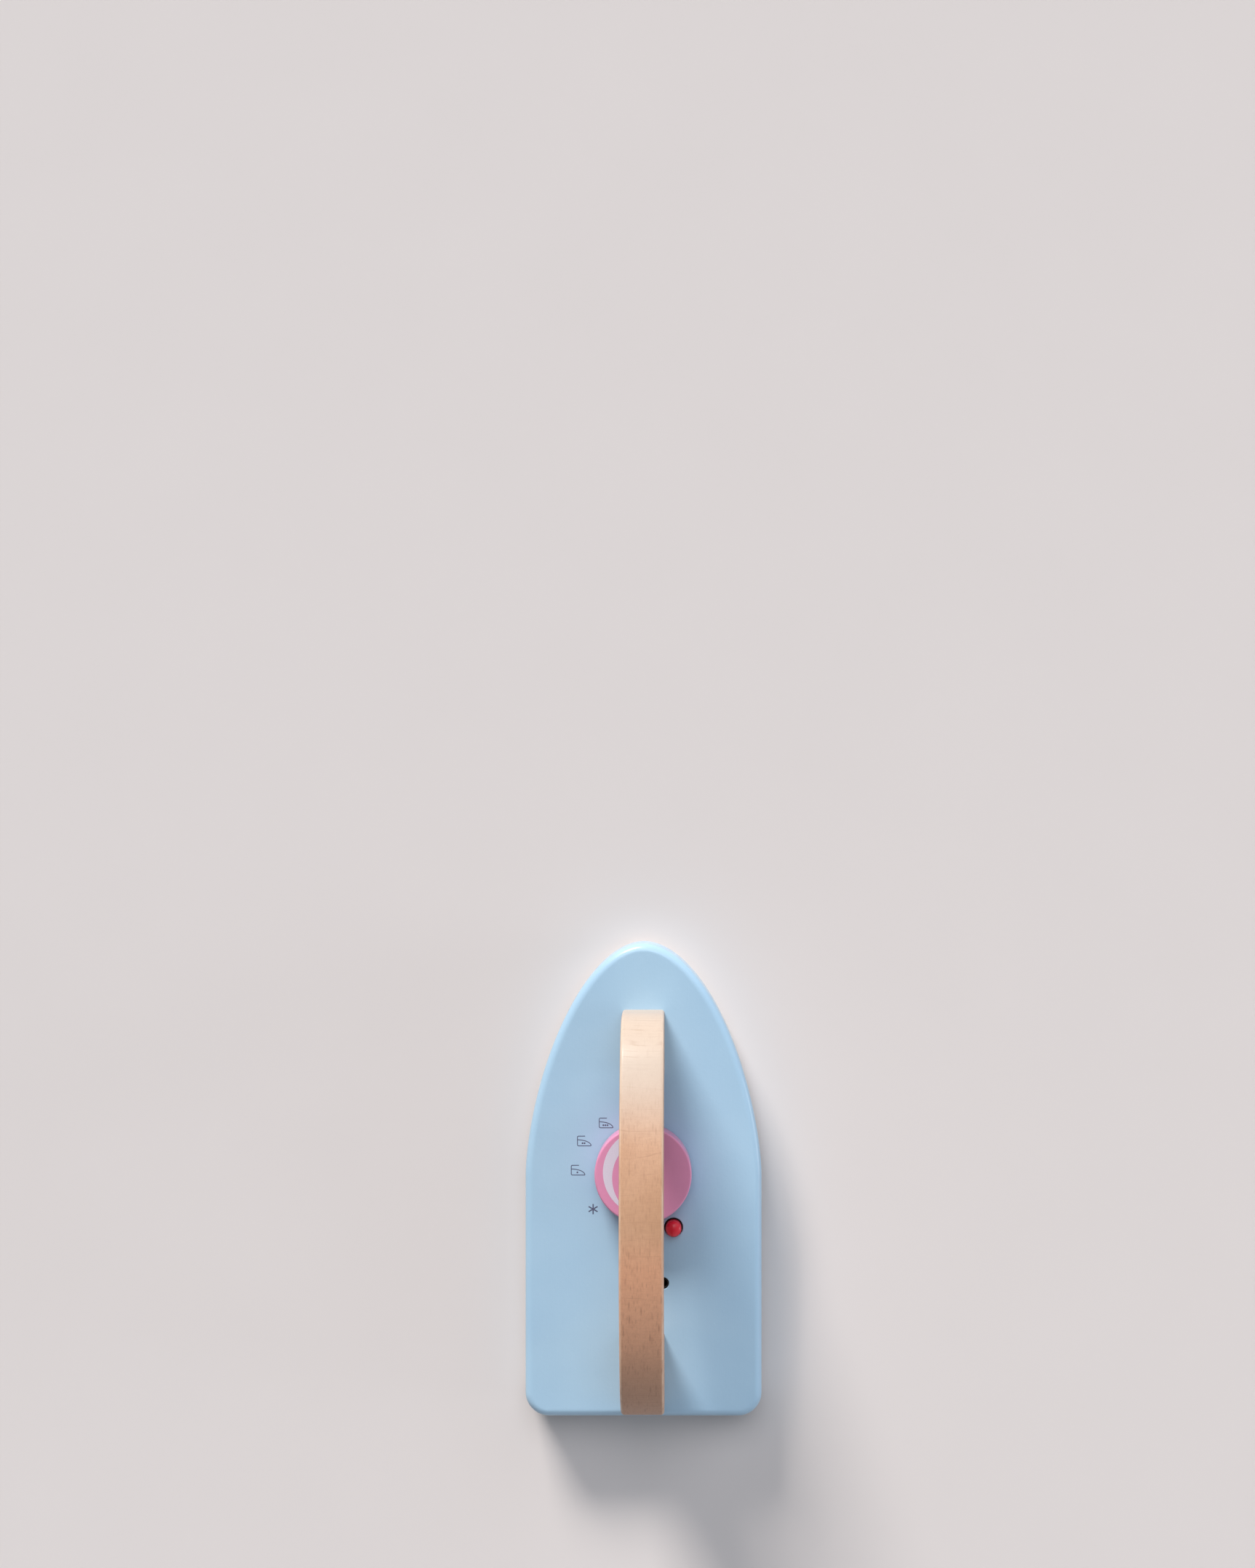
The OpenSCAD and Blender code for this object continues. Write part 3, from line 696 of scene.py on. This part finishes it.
# Out under the cup, up its wall, over the lip, whose outer slope is the smaller, and down the bore
# to its floor.
def eyeletSection():
    bore, radius, low, high = eyelet["bore"], eyelet["radius"], eyelet["low"], eyelet["high"]
    lip = eyelet["lip"]
    return [
        (eyelet["core"], low), (radius, low), (radius, high - lip),
        (radius - lip * eyelet["outerLip"], high), (bore + lip, high), (bore, high - lip),
        (bore, eyelet["floor"]), (eyelet["core"], eyelet["floor"]),
    ]


ventLiner = newObject("ventLiner", turned(eyeletSection(), ventAt, eyelet["sides"]))
settle(ventLiner, blackPlastic, "iron", "vent_eyelet", eyelet["crease"])

# Heat signs printed left of the dial: irons with dots, and a star. Sizes of an iron are shares of its box.
signs = dict(line=0.31, bold=0.48, ink=0.03, size=(5.3, 3.7), bar=0.55, barStart=0.02,
             bend=0.13, bendSteps=6, tip=0.98, front=0.62, frontTurn=(8, 90), frontSteps=16,
             toe=0.5, toeTurn=(-90, -20), toeSteps=5,
             dot=0.34, dotCore=0.05, dotSides=20, dots=(0.44, 0.27), dotStep=0.15,
             star=3.9, starTurns=(30, 390, 60), starAt=(-19.15, -10.8),
             irons=[((-24.8, 4.0), 1), ((-22.45, 15.1), 2), ((-14.15, 21.95), 3)])
inkLow, inkHigh = block["high"] - signs["ink"], block["high"] + signs["ink"]


# An ink line along a path: half its width to each side, square to the path.
def stroke(path):
    step = np.gradient(path, axis=0)
    step /= np.linalg.norm(step, axis=1, keepdims=True)
    beside = np.stack([step[:, 1], -step[:, 0]], -1) * signs["line"] / 2
    return flatBand(path - beside, path + beside, inkLow, inkHigh)


# The iron in one line: a bar for its handle, the rear edge, the base and a sloping front, a quarter of an
# ellipse that ends at the rear edge. Its dots stand along the base.
def ironSign(at, dots):
    size = np.array(signs["size"])
    low = np.array(at) - size / 2
    bend = signs["bend"] * size[1] / size
    slope = arc((0, 0), 1, *signs["frontTurn"], signs["frontSteps"]) * (signs["tip"], signs["front"])
    slope[-1, 0] = signs["line"] / 2 / size[0]
    line = np.concatenate([
        [(signs["bar"], 1), (signs["bar"] - signs["barStart"], 1)],
        arc((1, -1), 1, 90, 180, signs["bendSteps"]) * bend + (0, 1),
        arc((1, 1), 1, 180, 270, signs["bendSteps"]) * bend,
        arc((-1, 1), 1, *signs["toeTurn"], signs["toeSteps"]) * bend * signs["toe"] + (signs["tip"], 0),
        slope,
    ])
    middle, rise = signs["dots"]
    shares = [(middle + signs["dotStep"] * (dot - (dots - 1) / 2), rise) for dot in range(dots)]
    core, radius = signs["dotCore"], signs["dot"]
    section = [(core, inkLow), (radius, inkLow), (radius, inkHigh), (core, inkHigh)]
    places = low + size * shares
    return [stroke(low + line * size)] + [turned(section, place, signs["dotSides"]) for place in places]


# The star as one outline: six arms sixty degrees apart. Each gives the notch thirty degrees before it,
# which lies one line's width from the middle, and the two corners of its end.
def starSign(at):
    turns = np.radians(np.arange(*signs["starTurns"]))
    out = toward(turns)
    beside = np.stack([out[:, 1], -out[:, 0]], -1) * signs["bold"] / 2
    notches = toward(turns - np.pi / 6) * signs["bold"]
    end = out * signs["star"] / 2
    ring = np.asarray(at) + np.stack([notches, end + beside, end - beside], 1).reshape(-1, 2)
    return ringSkin(np.stack([lifted(ring, inkLow), lifted(ring, inkHigh)]))


drawn = sum([ironSign(at, dots) for at, dots in signs["irons"]], []) + [starSign(signs["starAt"])]
dialSigns = newObject("dialSigns", together(drawn))
settle(dialSigns, signInk, "iron")

# CAD pieces that stay as they are get their own finish.
keptFinish = {"sole_screws": steel, "handle_screws": steel, "handle_screw_washers": steel,
              "retainer_washer": steel, "retainer_screw": steel, "handle_dowels": dowelBeech,
              "dial_axle": dowelBeech, "dial_felt": felt}
for name, finish in keptFinish.items():
    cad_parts[name].data.materials.clear()
    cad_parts[name].data.materials.append(finish)
print("kept CAD pieces:", len(keptFinish))

# Pale floor under the iron, faintly cloudy, and a pale surround of the same tone.
stage = dict(tone=seen(225, 216, 212), shade=seen(223, 214, 210), cloud=(0.02, 2.0), half=3000)
floorPoints = stage["half"] * np.array([(-1, -1, 0), (1, -1, 0), (1, 1, 0), (-1, 1, 0)], float)
floor = newObject("floor", (floorPoints, [[0, 1, 2, 3]]))
floorFinish = newFinish("floor_pale", {"Roughness": 1.0, "Specular IOR Level": 0.0})
floorCloud = grainNoise(floorFinish, *stage["cloud"])
toShader(floorFinish, "Base Color", blended(floorFinish, floorCloud, stage["tone"], stage["shade"]))
floor.data.materials.append(floorFinish)

# Light: a weak even sky, two low windows in front and to the left, slightly warm, and cooler fills:
# one high, two from the right, a low one on the right-hand edges and one from behind. Each lamp has its
# strength, its turn left of the front, its height and its breadth, the last three in degrees.
light = dict(sky=0.05, warm=(1.03, 1.0, 0.97), cool=(0.92, 1.0, 1.1),
             windows=[(1.79, 15, 21, 12), (2.14, 25, 21, 12)],
             fills=[(1.09, 0, 60, 40), (0.38, -45, 30, 40), (0.3, -120, 30, 50), (0.7, -92, 6, 22),
                    (0.36, 180, 25, 60)])

# The camera, gloss and glass see the plain surround; everything else is lit by the sky.
world = scene.world or bpy.data.worlds.new("surround")
scene.world = world
world.use_nodes = True
world.node_tree.nodes.clear()
rayKind = addNode(world, "LightPath").outputs
plainSeen = rayKind["Is Camera Ray"]
for kind in ("Is Glossy Ray", "Is Transmission Ray"):
    plainSeen = sums(world, "MAXIMUM", plainSeen, rayKind[kind])
lit = addNode(world, "Background", {"Color": (*light["cool"], 1), "Strength": light["sky"]})
plain = addNode(world, "Background", {"Color": stage["tone"], "Strength": 1.0})
choose = addNode(world, "MixShader", {0: plainSeen, 1: lit.outputs[0], 2: plain.outputs[0]})
addNode(world, "OutputWorld", {"Surface": choose.outputs[0]})


# A sun that shines from a compass turn left of the front and a height above the floor, in degrees.
def addSun(name, tint, strength, turn, height, broad):
    lamp = bpy.data.lights.new(name, "SUN")
    lamp.energy, lamp.angle, lamp.color = strength, math.radians(broad), tint
    sun = bpy.data.objects.new(name, lamp)
    sun.rotation_euler = (math.radians(height - 90), 0, math.radians(turn))
    scene.collection.objects.link(sun)


for window in light["windows"]:
    addSun("window", light["warm"], *window)
for fill in light["fills"]:
    addSun("fill", light["cool"], *fill)

# Camera straight above, ahead of the nose, as far up as the picture was taken from.
shot = dict(at=(13.3, 150.8, 855), lens=50.427, sensor=36, shift=-0.0325)
lensData = bpy.data.cameras.new("shot")
lensData.lens, lensData.sensor_width, lensData.shift_x = shot["lens"], shot["sensor"], shot["shift"]
camera = bpy.data.objects.new("shot", lensData)
camera.location = [v * mm for v in shot["at"]]
scene.collection.objects.link(camera)
scene.camera = camera
scene.view_settings.view_transform = "Standard"
print("light and camera set")
